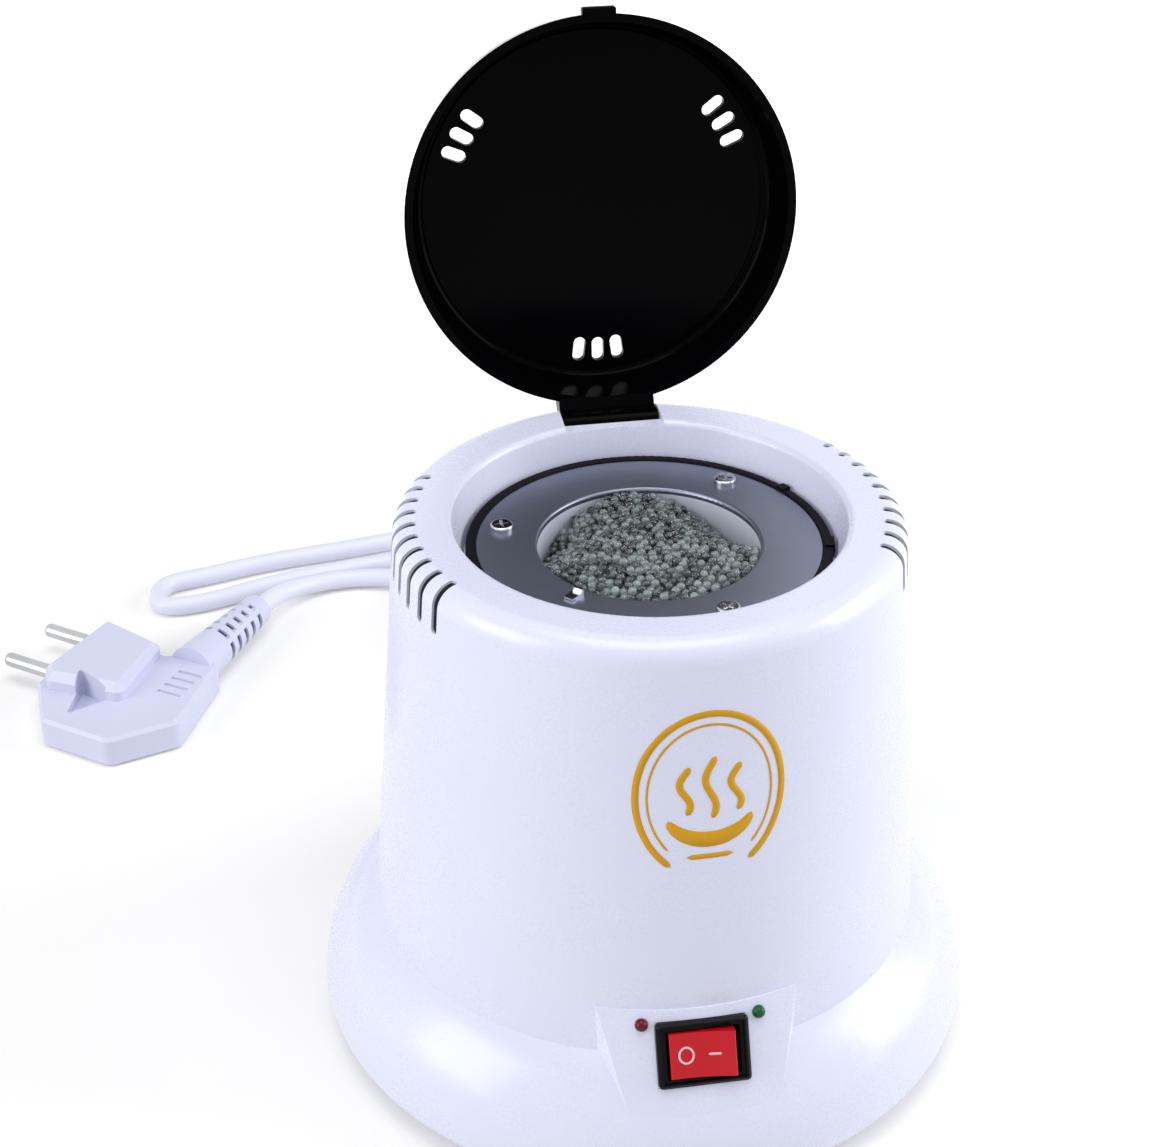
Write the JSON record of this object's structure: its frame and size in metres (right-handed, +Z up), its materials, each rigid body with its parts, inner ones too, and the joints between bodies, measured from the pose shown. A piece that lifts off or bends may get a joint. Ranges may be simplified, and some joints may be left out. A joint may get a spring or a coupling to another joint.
{
  "type": "bead sterilizer",
  "caption": "Round white bench-top bead sterilizer with a hinged black lid, a heated bowl of glass beads, a rocker switch and a mains cord.",
  "frame": {"origin": "on the table under the middle of the round base", "axes": "+Z up, the switch and lamps face -Y, the lid's hinge is towards +Y and its axis is along X"},
  "size_m": [0.2463, 0.3173, 0.2307],
  "materials": {
    "housing_white": "smooth glossy moulding",
    "lid_black": "high gloss",
    "seal_black": "matt silicone rubber",
    "plate_steel": "satin",
    "bowl_steel": "polished",
    "screw_steel": "bright",
    "bead_glass": "clear",
    "base_grey": "fine grain",
    "foot_rubber": "matt",
    "shield_metal": "rolled sheet",
    "heater_mica": "dull",
    "collar_ceramic": "unglazed",
    "insulation_fibre": "fibre",
    "brass": "plain",
    "switch_black": "satin gloss",
    "rocker_red": "satin gloss",
    "lamp_red": "clear tinted",
    "lamp_green": "clear tinted",
    "block_white": "fine grain",
    "wire_brown": "satin",
    "wire_blue": "satin",
    "wire_yellow": "satin",
    "wire_glass": "woven sleeve",
    "cord_white": "satin",
    "tie_black": "fine grain"
  },
  "bodies": {
    "base": {"housing_shell": "housing_white", "base_plate": "base_grey", "rubber_feet": "foot_rubber", "base_screws": "screw_steel", "hinge_pin": "screw_steel", "sealing_ring": "seal_black", "top_plate": "plate_steel", "plate_screws": "screw_steel", "plate_clip": "screw_steel", "bead_bowl": "bowl_steel", "glass_beads": "bead_glass", "heater_band": "heater_mica", "band_screw": "screw_steel", "heater_studs": "brass", "stud_collars": "collar_ceramic", "insulation_sleeve": "insulation_fibre", "ceramic_spacer": "collar_ceramic", "heat_shield": "shield_metal", "hex_posts": "screw_steel", "post_screws": "screw_steel", "temperature_switch": "shield_metal", "switch_clip": "screw_steel", "thermal_fuse": "shield_metal", "fuse_clip": "screw_steel", "rocker_frame": "switch_black", "switch_spades": "brass", "red_lamp": "lamp_red", "green_lamp": "lamp_green", "lamp_leads": "screw_steel", "terminal_block": "block_white", "block_screws": "brass", "cord_clamp": "block_white", "clamp_screws": "screw_steel", "wire_live": "wire_brown", "wire_neutral": "wire_blue", "wire_earth": "wire_yellow", "wire_heater": "wire_glass", "cord_tail": "cord_white", "cord_gland": "cord_white", "power_cord": "cord_white", "cord_coil": "cord_white", "cord_tie": "tie_black", "plug_body": "cord_white", "plug_pins": "screw_steel"},
    "lid": {"lid": "lid_black"},
    "rocker": {"rocker": "rocker_red"}
  },
  "joints": [
    {"name": "lid_hinge", "type": "hinge", "parent": "base", "child": "lid", "pos_m": [0, 0.0512, 0.132], "axis": [1, 0, 0], "range_deg": [0, 97]},
    {"name": "rocker_pivot", "type": "hinge", "parent": "base", "child": "rocker", "pos_m": [0, -0.06876, 0.03588], "axis": [0, 0.4226, 0.9063], "range_deg": [0, 18]}
  ]
}
